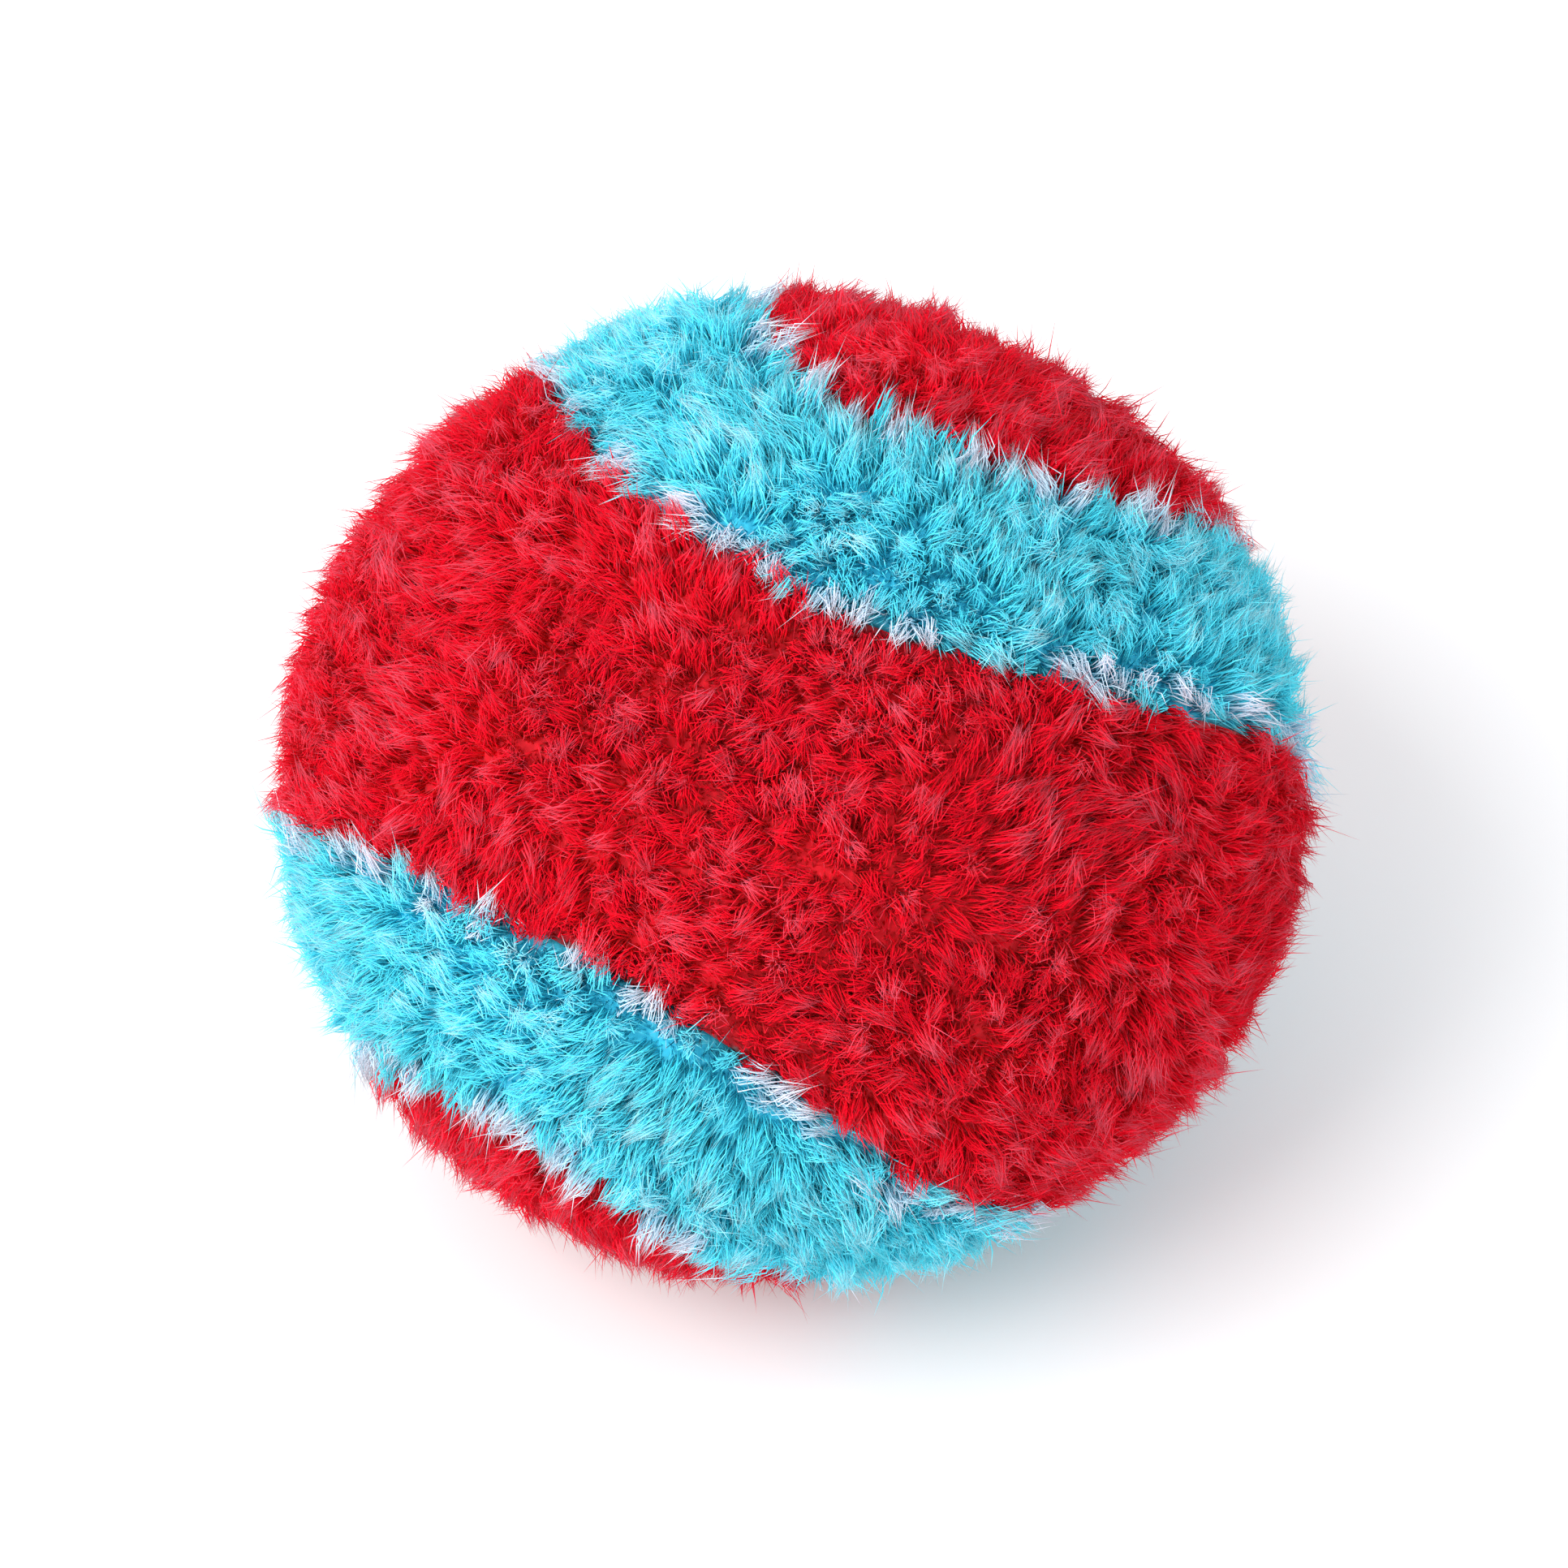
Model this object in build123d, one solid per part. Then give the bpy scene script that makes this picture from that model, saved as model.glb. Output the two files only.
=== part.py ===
from build123d import *

import math
import os

# A soft juggling ball, in millimetres, standing on its own flattened underside.
# Two red pile-fabric panels, each shaped like a dog bone, are joined all round by one
# light blue pile-fabric band. Inside are wadding and a sewn bag of plastic pellets.
# +Z is up and the origin is the middle of the flat patch that the ball rests on.

# Outer shape, measured to the tips of the pile: flatter caps above and below a fuller side.
EQUATOR_RADIUS = 32.5
FLATTENING = 3.0  # how much lower than wide each half is
SIDE_OFFSET = 6.4  # from the axis to the middle of the side's arc, more than FLATTENING
REST_RADIUS = 14.0

# Cover fabric: backing cloth with its pile, thinner where the ball's weight crushes it.
COVER_THICKNESS = 4.5
CRUSHED_THICKNESS = 2.5
BAND_WIDTH = 15.0
SEAM_SWING = 0.187  # 0 makes the band a plain hoop; a tennis ball's seam is close to 0.2
COVER_TURNS = (32.5, -23.4, 3.9)  # degrees about X, then Y, then Z

# Seams of the cover: edges turned in, butted, and overlocked.
SEAM_GAP = 0.3
SEAM_GROOVE = 2.0
ALLOWANCE_DEPTH = 3.5
ALLOWANCE_THICKNESS = 1.0
THREAD_DIAMETER = 0.5
STITCH_PITCH = 3.0
STITCH_LEG = 1.8
BAND_JOIN_AT = 100.0  # degrees along the band
CLOSING_FROM = 120.0
CLOSING_TO = 170.0
LADDER_PITCH = 3.5
LADDER_INSET = 2.5
KNOT_DIAMETER = 1.2
KNOT_INSET = 1.3

# Filling.
FIT_CLEARANCE = 0.2
BAG_THICKNESS = 0.6
BAG_HEM = 2.0
BAG_STITCH_LEG = 1.2
BAG_CLOSING_ANGLE = 50.0
PELLET_DIAMETER = 4.5
PELLET_CLEARANCE = 0.15

POLE_RADIUS = EQUATOR_RADIUS - FLATTENING
SIDE_ARC = EQUATOR_RADIUS - SIDE_OFFSET
SQUASH = SIDE_OFFSET - FLATTENING
CAP_OFFSET = (SIDE_OFFSET**2 - SQUASH**2) / (2 * SQUASH)
CAP_ARC = POLE_RADIUS + CAP_OFFSET
MEETING_ANGLE = math.atan2(CAP_OFFSET, SIDE_OFFSET)
CENTRE_Z = math.sqrt(CAP_ARC**2 - REST_RADIUS**2) - CAP_OFFSET
BAND_HALF_ANGLE = BAND_WIDTH / 2 / EQUATOR_RADIUS
GAP_HALF_ANGLE = SEAM_GAP / 2 / (EQUATOR_RADIUS - COVER_THICKNESS)
GROOVE_HALF_ANGLE = SEAM_GROOVE / 2 / EQUATOR_RADIUS
ALLOWANCE_ANGLE = ALLOWANCE_THICKNESS / (EQUATOR_RADIUS - COVER_THICKNESS)
ALLOWANCE_END = COVER_THICKNESS + ALLOWANCE_DEPTH
STITCH_HALF_WIDTH = SEAM_GAP / 2 + ALLOWANCE_THICKNESS + FIT_CLEARANCE + THREAD_DIAMETER / 2
CHANNEL_HALF_WIDTH = STITCH_HALF_WIDTH + THREAD_DIAMETER / 2 + FIT_CLEARANCE
CHANNEL_END = ALLOWANCE_END + THREAD_DIAMETER + 2 * FIT_CLEARANCE
CHANNEL_HALF_ANGLE = CHANNEL_HALF_WIDTH / (POLE_RADIUS - CHANNEL_END)
BAG_STITCH_REACH = BAG_HEM + FIT_CLEARANCE + THREAD_DIAMETER
BAG_INSET = CHANNEL_END + BAG_STITCH_REACH + FIT_CLEARANCE
BAG_STITCH_HALF_HEIGHT = FIT_CLEARANCE / 2 + BAG_THICKNESS + FIT_CLEARANCE + THREAD_DIAMETER / 2
PELLET_INSET = BAG_INSET + BAG_THICKNESS + PELLET_CLEARANCE + PELLET_DIAMETER / 2


def seam_middle(angle):
    """Direction from the ball's centre to the middle of the band, angle in radians."""
    wide = 1 - SEAM_SWING
    return Vector(
        wide * math.cos(angle) + SEAM_SWING * math.cos(3 * angle),
        wide * math.sin(angle) - SEAM_SWING * math.sin(3 * angle),
        2 * math.sqrt(wide * SEAM_SWING) * math.sin(2 * angle),
    )


def turned(direction):
    """A direction of the cover's own frame, turned as the cover lies on the ball."""
    for axis, turn in zip((Axis.X, Axis.Y, Axis.Z), COVER_TURNS):
        direction = direction.rotate(axis, turn)
    return direction


def cover_direction(angle, aside):
    """Direction a given angle to one side of the band's middle."""
    step = 1e-4
    middle = seam_middle(angle)
    along = (seam_middle(angle + step) - seam_middle(angle - step)).normalized()
    across = middle.cross(along)
    return turned(middle * math.cos(aside) + across * math.sin(aside))


def reach_to_arc(towards_middle, middle_offset, arc):
    """Distance from the ball's centre to an arc, along a ray that leans towards its middle."""
    return towards_middle * middle_offset + math.sqrt(
        arc**2 - middle_offset**2 * (1 - towards_middle**2)
    )


def inset_point(direction, inset):
    """Where a direction meets the ball's rounded surface moved inwards by inset."""
    level = math.hypot(direction.X, direction.Y)
    rise = abs(direction.Z)
    meeting_level = (CAP_ARC - inset) * math.cos(MEETING_ANGLE)
    meeting_rise = (CAP_ARC - inset) * math.sin(MEETING_ANGLE) - CAP_OFFSET
    if rise * meeting_level > level * meeting_rise:
        reach = reach_to_arc(-rise, CAP_OFFSET, CAP_ARC - inset)
    else:
        reach = reach_to_arc(level, SIDE_OFFSET, SIDE_ARC - inset)
    return Vector(0, 0, CENTRE_Z) + direction * reach


def lies_within(level, rise, inset):
    """Whether a point this far from the axis and from the middle height is inside the inset shape."""
    rise = abs(rise)
    if rise + CAP_OFFSET > level * math.tan(MEETING_ANGLE):
        return math.hypot(level, rise + CAP_OFFSET) <= CAP_ARC - inset
    return math.hypot(level - SIDE_OFFSET, rise) <= SIDE_ARC - inset


def cover_point(angle, aside, inset):
    """Point beside the band's middle, inset from the ball's outer surface."""
    return inset_point(cover_direction(angle, aside), inset)


def seam_plane(angle, aside, inset):
    """Plane across a seam: X runs across it, Y outwards and Z along it."""
    step = 1e-3
    origin = cover_point(angle, aside, inset)
    across = cover_point(angle, aside + step, inset) - cover_point(angle, aside - step, inset)
    along = cover_point(angle + step, aside, inset) - cover_point(angle - step, aside, inset)
    return Plane(origin=origin, x_dir=across, z_dir=along)


def rounded_body(inset, floor):
    """The ball's rounded shape moved inwards by inset and cut flat at the height floor."""
    meeting = math.degrees(MEETING_ANGLE)
    cap = CAP_ARC - inset
    sine = (floor - CENTRE_Z - CAP_OFFSET) / cap
    start = math.degrees(math.asin(max(sine, -1)))
    bottom = CenterArc((0, CENTRE_Z + CAP_OFFSET), cap, start, -meeting - start)
    side = CenterArc((SIDE_OFFSET, CENTRE_Z), SIDE_ARC - inset, -meeting, 2 * meeting)
    top = CenterArc((0, CENTRE_Z - CAP_OFFSET), cap, meeting, 90 - meeting)
    lowest = bottom @ 0
    outline = bottom + side + top + Line(top @ 1, (0, lowest.Y))
    if sine > -1:
        outline += Line((0, lowest.Y), lowest)
    return revolve(Plane.XZ * make_face(outline), axis=Axis.Z).solid()


def cutting_face(outer_aside, inner_aside):
    """Ruled face round the whole ball beside the band, through both the cover and the allowances."""
    points = 48
    angles = [math.tau * index / points for index in range(points)]
    slope = (outer_aside - inner_aside) / COVER_THICKNESS
    outside = -COVER_THICKNESS
    inside = CHANNEL_END + COVER_THICKNESS
    edges = []
    for inset in (outside, inside):
        aside = inner_aside + slope * (COVER_THICKNESS - inset)
        edges.append(Edge.make_spline([cover_point(angle, aside, inset) for angle in angles], periodic=True))
    return Face.make_surface_from_curves(*edges)


def panel_middle(side, inset):
    """A point in the middle of the panel on one side of the band, +1 or -1."""
    return inset_point(turned(Vector(0, 0, side)), inset)


def piece_at(solids, point):
    """The one solid that lies nearest to a point."""
    return min(solids, key=lambda solid: solid.distance_to(Vertex(*point)))


def beyond(layer, side, outer_aside, inner_aside, inset):
    """The part of a layer on the panel's side of a cut beside the band."""
    pieces = layer.split(cutting_face(side * outer_aside, side * inner_aside), keep=Keep.ALL)
    return piece_at(pieces, panel_middle(side, inset))


def within(layer, outer_aside, inner_aside, inset):
    """The part of a layer between two equal cuts on both sides of the band's middle."""
    for side in (1, -1):
        pieces = layer.split(cutting_face(side * outer_aside, side * inner_aside), keep=Keep.ALL)
        layer = piece_at(pieces, cover_point(0, 0, inset))
    return layer


def cloth_layer():
    """The cover's thickness all round, before it is cut into panels."""
    return rounded_body(0, 0) - rounded_body(COVER_THICKNESS, CRUSHED_THICKNESS)


def allowance_layer():
    """The depth under the cover that the turned-in edges fill."""
    return rounded_body(COVER_THICKNESS, CRUSHED_THICKNESS) - rounded_body(ALLOWANCE_END, 0)


def edge_allowance(side, edge, inner, depth):
    """The turned-in edge between two cuts on one side of the band."""
    layer = allowance_layer()
    between = cover_point(0, side * (edge + inner) / 2, depth)
    for aside in (edge, inner):
        pieces = layer.split(cutting_face(side * aside, side * aside), keep=Keep.ALL)
        layer = piece_at(pieces, between)
    return layer


def make_panel(side):
    """One dog-bone panel with its turned-in edge."""
    edge = BAND_HALF_ANGLE + GAP_HALF_ANGLE
    outer = BAND_HALF_ANGLE + GROOVE_HALF_ANGLE
    cloth = beyond(cloth_layer(), side, outer, edge, COVER_THICKNESS / 2)
    depth = COVER_THICKNESS + ALLOWANCE_DEPTH / 2
    return (cloth + edge_allowance(side, edge, edge + ALLOWANCE_ANGLE, depth)).solid()


def band_join_block(width, top_inset, bottom_inset, thickness):
    """A block across the band where its two ends are joined."""
    plane = seam_plane(math.radians(BAND_JOIN_AT), 0, (top_inset + bottom_inset) / 2)
    return plane * Box(width, bottom_inset - top_inset, thickness)


def make_band():
    """The band, one strip of pile fabric whose ends meet in a short join."""
    edge = BAND_HALF_ANGLE - GAP_HALF_ANGLE
    outer = BAND_HALF_ANGLE - GROOVE_HALF_ANGLE
    inner = edge - ALLOWANCE_ANGLE
    depth = COVER_THICKNESS + ALLOWANCE_DEPTH / 2
    band = within(cloth_layer(), outer, edge, COVER_THICKNESS / 2)
    for side in (1, -1):
        band += edge_allowance(side, edge, inner, depth)
    width = 2 * (inner * (POLE_RADIUS - ALLOWANCE_END) - FIT_CLEARANCE)
    thickness = SEAM_GAP + 2 * ALLOWANCE_THICKNESS
    band += band_join_block(width, COVER_THICKNESS - FIT_CLEARANCE, ALLOWANCE_END, thickness)
    slot_end = ALLOWANCE_END + ALLOWANCE_DEPTH
    band -= band_join_block(2 * BAND_WIDTH, -COVER_THICKNESS, slot_end, SEAM_GAP)
    return band.solid()


def stitch_loop(half_width, leg):
    """One overlock loop of thread round a pair of edges, open along +Y, its bottom at Y = 0."""
    corner = min(half_width, leg) / 2
    ends = [(-half_width, leg), (-half_width, 0), (half_width, 0), (half_width, leg)]
    path = FilletPolyline(*ends, radius=corner)
    start = Plane(origin=path @ 0, z_dir=path % 0)
    return sweep(start * Circle(THREAD_DIAMETER / 2), path=path).solid()


def seam_length(aside, inset):
    """Length of a seam that runs all round the ball."""
    steps = 360
    points = [cover_point(math.tau * index / steps, aside, inset) for index in range(steps + 1)]
    return sum((after - before).length for before, after in zip(points, points[1:]))


def seam_angles(aside, pitch):
    """Angles along the band of the stitches of one seam."""
    count = round(seam_length(aside, ALLOWANCE_END) / pitch)
    return [math.tau * index / count for index in range(count)]


def in_closing(angle):
    """Whether a place along the seam lies in the gap that is closed by hand."""
    return CLOSING_FROM <= math.degrees(angle) <= CLOSING_TO


def make_seam_thread(side, leaves_gap):
    """The overlock stitches of one panel's seam, as one group of loops."""
    inset = ALLOWANCE_END + FIT_CLEARANCE + THREAD_DIAMETER / 2
    aside = side * BAND_HALF_ANGLE
    angles = seam_angles(aside, STITCH_PITCH)
    if leaves_gap:
        angles = [angle for angle in angles if not in_closing(angle)]
    loop = stitch_loop(STITCH_HALF_WIDTH, STITCH_LEG)
    return [loop.moved(seam_plane(angle, aside, inset).location) for angle in angles]


def make_join_thread():
    """The overlock stitches of the short join between the band's ends."""
    inset = ALLOWANCE_END + FIT_CLEARANCE + THREAD_DIAMETER / 2
    angle = math.radians(BAND_JOIN_AT)
    loop = stitch_loop(STITCH_HALF_WIDTH, STITCH_LEG)
    quarter_turn = Rotation(0, 90, 0)
    spacing = STITCH_PITCH / (EQUATOR_RADIUS - ALLOWANCE_END)
    planes = [seam_plane(angle, index * spacing, inset) for index in (-1, 0, 1)]
    return [loop.moved(plane.location * quarter_turn) for plane in planes]


def make_ladder_thread(side):
    """The rungs of the hand-sewn ladder stitch, across the groove of the closing gap."""
    depth_share = 1 - LADDER_INSET / COVER_THICKNESS
    width = SEAM_GAP + (SEAM_GROOVE - SEAM_GAP) * depth_share - FIT_CLEARANCE
    rung = Rotation(0, 90, 0) * Cylinder(THREAD_DIAMETER / 2, width)
    aside = side * BAND_HALF_ANGLE
    angles = [angle for angle in seam_angles(aside, LADDER_PITCH) if in_closing(angle)]
    return [rung.solid().moved(seam_plane(angle, aside, LADDER_INSET).location) for angle in angles]


def make_knot(side):
    """The knot that ends the ladder stitch, sunk in the groove."""
    centre = cover_point(math.radians(CLOSING_TO + 2), side * BAND_HALF_ANGLE, KNOT_INSET)
    return Pos(*centre) * Sphere(KNOT_DIAMETER / 2)


def hem_ring(inner_inset, reach, half_height):
    """A flat ring round the bag's middle."""
    outer = EQUATOR_RADIUS - BAG_INSET + reach
    inner = EQUATOR_RADIUS - inner_inset
    ring = Cylinder(outer, 2 * half_height) - Cylinder(inner, 2 * half_height)
    return Pos(0, 0, CENTRE_Z) * ring


def make_bag_half(up):
    """Half of the pellet bag with its flat hem, up is +1 or -1."""
    bag = rounded_body(BAG_INSET, 0) - rounded_body(BAG_INSET + BAG_THICKNESS, 0)
    bag += hem_ring(BAG_INSET + BAG_THICKNESS / 2, BAG_HEM, FIT_CLEARANCE / 2 + BAG_THICKNESS)
    span = 4 * EQUATOR_RADIUS
    half_space = Pos(0, 0, CENTRE_Z + up * (span / 2 + FIT_CLEARANCE / 2)) * Box(span, span, span)
    return (bag & half_space).solid()


def make_bag_thread(closing):
    """The loops round the bag's hem, either the machine-sewn run or the filling gap's."""
    radius = EQUATOR_RADIUS - BAG_INSET + BAG_HEM + FIT_CLEARANCE + THREAD_DIAMETER / 2
    loop = stitch_loop(BAG_STITCH_HALF_HEIGHT, BAG_STITCH_LEG)
    count = round(math.tau * radius / STITCH_PITCH)
    loops = []
    for index in range(count):
        turn = 360 * index / count
        if (turn < BAG_CLOSING_ANGLE) != closing:
            continue
        outwards = Vector(math.cos(math.radians(turn)), math.sin(math.radians(turn)), 0)
        origin = outwards * radius + Vector(0, 0, CENTRE_Z)
        along = outwards.cross(Vector(0, 0, 1))
        loops.append(loop.moved(Plane(origin=origin, x_dir=(0, 0, 1), z_dir=-along).location))
    return loops


def make_pellets():
    """Round plastic pellets, packed in close layers inside the bag."""
    step = PELLET_DIAMETER + PELLET_CLEARANCE
    layer_height = step * math.sqrt(2 / 3)
    row_width = step * math.sqrt(3) / 2
    reach = math.ceil(EQUATOR_RADIUS / row_width)
    pellet = Sphere(PELLET_DIAMETER / 2).solid()
    pellets = []
    for layer in range(-reach, reach + 1):
        shift = layer % 2
        for row in range(-reach, reach + 1):
            for place in range(-reach, reach + 1):
                x = step * (place + ((row + shift) % 2) / 2)
                y = row_width * (row + shift / 3)
                z = layer_height * layer
                if lies_within(math.hypot(x, y), z, PELLET_INSET):
                    pellets.append(pellet.moved(Location((x, y, CENTRE_Z + z))))
    return pellets


def make_wadding():
    """Loose fibre: a core round the bag, and pads between the cover's seams."""
    core = rounded_body(CHANNEL_END, 0) - rounded_body(BAG_INSET - FIT_CLEARANCE, 0)
    slot_half_height = BAG_STITCH_HALF_HEIGHT + THREAD_DIAMETER / 2 + FIT_CLEARANCE
    core -= hem_ring(BAG_INSET, BAG_STITCH_REACH + FIT_CLEARANCE, slot_half_height)
    outer_inset = COVER_THICKNESS + FIT_CLEARANCE
    outer = rounded_body(outer_inset, CRUSHED_THICKNESS + FIT_CLEARANCE)
    layer = outer - rounded_body(CHANNEL_END - FIT_CLEARANCE, 0)
    depth = (outer_inset + CHANNEL_END) / 2
    far = BAND_HALF_ANGLE + CHANNEL_HALF_ANGLE
    near = BAND_HALF_ANGLE - CHANNEL_HALF_ANGLE
    pads = [beyond(layer, side, far, far, depth) for side in (1, -1)]
    strip = within(layer, near, near, depth)
    strip -= band_join_block(BAND_WIDTH, 0, CHANNEL_END + FIT_CLEARANCE, 2 * CHANNEL_HALF_WIDTH)
    return [*core.solids(), *pads, strip.solid()]


def write(name, shape):
    """Write one sub-part, a solid or a list of separate solids."""
    if isinstance(shape, list):
        shape = Compound(children=shape)
    export_step(shape, f"parts/{name}.step")


def main():
    """Build every sub-part and write each to its own file."""
    os.makedirs("parts", exist_ok=True)
    write("cover_panel_front", make_panel(1))
    write("cover_panel_back", make_panel(-1))
    write("cover_band", make_band())
    write("front_seam_thread", make_seam_thread(1, False))
    write("back_seam_thread", make_seam_thread(-1, True))
    write("band_join_thread", make_join_thread())
    write("closing_ladder_thread", make_ladder_thread(-1))
    write("closing_knot", make_knot(-1))
    write("wadding", make_wadding())
    write("bag_top", make_bag_half(1))
    write("bag_bottom", make_bag_half(-1))
    write("bag_seam_thread", make_bag_thread(False))
    write("bag_closing_thread", make_bag_thread(True))
    write("pellets", make_pellets())


if __name__ == "__main__":
    main()
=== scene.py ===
"""A soft juggling ball: red pile-fabric panels, a winding light blue band, and a sewn pellet bag inside."""

import logging
import math
from dataclasses import dataclass, field
from enum import Enum

import bmesh
import bpy
import numpy as np
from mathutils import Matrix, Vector


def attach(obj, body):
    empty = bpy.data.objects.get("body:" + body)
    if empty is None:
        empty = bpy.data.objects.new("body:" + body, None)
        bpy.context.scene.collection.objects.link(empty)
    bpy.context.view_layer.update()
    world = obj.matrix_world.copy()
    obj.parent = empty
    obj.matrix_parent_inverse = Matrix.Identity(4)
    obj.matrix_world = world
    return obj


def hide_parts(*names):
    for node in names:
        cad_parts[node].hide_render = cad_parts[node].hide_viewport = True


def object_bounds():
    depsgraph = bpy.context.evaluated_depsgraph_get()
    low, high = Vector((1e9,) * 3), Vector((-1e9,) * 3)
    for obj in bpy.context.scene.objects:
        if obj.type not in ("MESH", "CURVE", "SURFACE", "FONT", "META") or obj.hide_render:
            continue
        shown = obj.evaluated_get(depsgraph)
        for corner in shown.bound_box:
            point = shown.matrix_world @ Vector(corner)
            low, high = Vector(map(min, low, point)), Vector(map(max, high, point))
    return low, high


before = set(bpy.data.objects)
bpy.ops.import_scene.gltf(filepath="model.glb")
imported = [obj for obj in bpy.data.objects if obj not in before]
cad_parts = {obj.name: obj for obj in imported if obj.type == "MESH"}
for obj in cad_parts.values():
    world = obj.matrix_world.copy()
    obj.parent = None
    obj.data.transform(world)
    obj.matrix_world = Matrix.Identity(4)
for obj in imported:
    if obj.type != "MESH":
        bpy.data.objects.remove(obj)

CAD_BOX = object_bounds()
MM = 0.001
BODY = "root"
LOG = logging.getLogger("juggling_ball")


class Zone(Enum):
    """The three cloth pieces of the cover, by their side of the band."""

    FRONT = 1
    BAND = 0
    BACK = -1


def linear_colour(hex_code: str) -> tuple[float, float, float, float]:
    """Turn an sRGB hex colour into linear values for a shader.

    Args:
        hex_code: The colour as six hex digits after a hash sign.

    Returns:
        Linear red, green and blue, and an alpha of one.
    """
    channels = [int(hex_code[index : index + 2], 16) / 255 for index in (1, 3, 5)]
    curve = [c / 12.92 if c <= 0.04045 else ((c + 0.055) / 1.055) ** 2.4 for c in channels]
    return (curve[0], curve[1], curve[2], 1.0)


def unit(vectors: np.ndarray) -> np.ndarray:
    """Scale each row to length one."""
    return vectors / np.maximum(np.linalg.norm(vectors, axis=-1, keepdims=True), 1e-12)


def smooth_step(values: np.ndarray, low: float, high: float) -> np.ndarray:
    """Rise smoothly from zero at low to one at high."""
    share = np.clip((values - low) / (high - low), 0.0, 1.0)
    return share * share * (3 - 2 * share)


@dataclass(frozen=True)
class BallForm:
    """The ball's rounded outline: flatter caps above and below a fuller side, all tangent arcs.

    Attributes:
        flattening: How much lower than wide each half is, in metres.
        side_offset: From the axis to the middle of the side's arc, in metres.
        rest_radius: Radius of the flat patch that the ball rests on, in metres.
    """

    flattening: float = 3.0 * MM
    side_offset: float = 6.4 * MM
    rest_radius: float = 14.0 * MM

    @property
    def squash(self) -> float:
        """How much the height radius is larger than the side's arc."""
        return self.side_offset - self.flattening

    @property
    def equator(self) -> float:
        """Half the ball's width."""
        return float(CAD_BOX[1][0] - CAD_BOX[0][0]) / 2

    @property
    def side_arc(self) -> float:
        """Radius of the side's arc."""
        return self.equator - self.side_offset

    @property
    def cap_offset(self) -> float:
        """How far each cap's arc is centred beyond the ball's centre."""
        return (self.side_offset**2 - self.squash**2) / (2 * self.squash)

    @property
    def cap_arc(self) -> float:
        """Radius of the caps' arcs."""
        return self.side_arc + self.squash + self.cap_offset

    @property
    def centre(self) -> np.ndarray:
        """The ball's centre, above the middle of the rest patch."""
        height = math.sqrt(self.cap_arc**2 - self.rest_radius**2) - self.cap_offset
        return np.array([0.0, 0.0, height])

    def points(self, directions: np.ndarray, inset: np.ndarray | float) -> np.ndarray:
        """Find where rays from the centre meet the outline moved inwards.

        Args:
            directions: Unit rows.
            inset: How far inwards, one value or one for each row.

        Returns:
            One point for each direction.
        """
        level = np.hypot(directions[:, 0], directions[:, 1])
        rise = np.abs(directions[:, 2])
        cap = self.cap_arc - inset
        side = self.side_arc - inset
        to_meeting = math.atan2(self.cap_offset, self.side_offset)
        meeting_level = cap * math.cos(to_meeting)
        meeting_rise = cap * math.sin(to_meeting) - self.cap_offset
        on_cap = rise * meeting_level > level * meeting_rise
        cap_reach = -rise * self.cap_offset + np.sqrt(cap**2 - (self.cap_offset * level) ** 2)
        side_reach = level * self.side_offset + np.sqrt(side**2 - (self.side_offset * rise) ** 2)
        reach = np.where(on_cap, cap_reach, side_reach)
        return self.centre + directions * reach[:, None]

    def normals(self, points: np.ndarray) -> np.ndarray:
        """Find the outward normals of the outline at points on it or inside it.

        Args:
            points: One point a row.

        Returns:
            One unit normal for each point.
        """
        away = points - self.centre
        level = np.hypot(away[:, 0], away[:, 1])
        rise = away[:, 2]
        to_meeting = math.atan2(self.cap_offset, self.side_offset)
        cap_angle = np.arctan2(np.abs(rise) + self.cap_offset, level)
        ring = np.stack([away[:, 0], away[:, 1], np.zeros(len(away))], axis=1)
        side_normal = away - unit(ring) * self.side_offset
        cap_normal = away + np.stack([0 * level, 0 * level, np.sign(rise) * self.cap_offset], axis=1)
        return unit(np.where((cap_angle > to_meeting)[:, None], cap_normal, side_normal))


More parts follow.
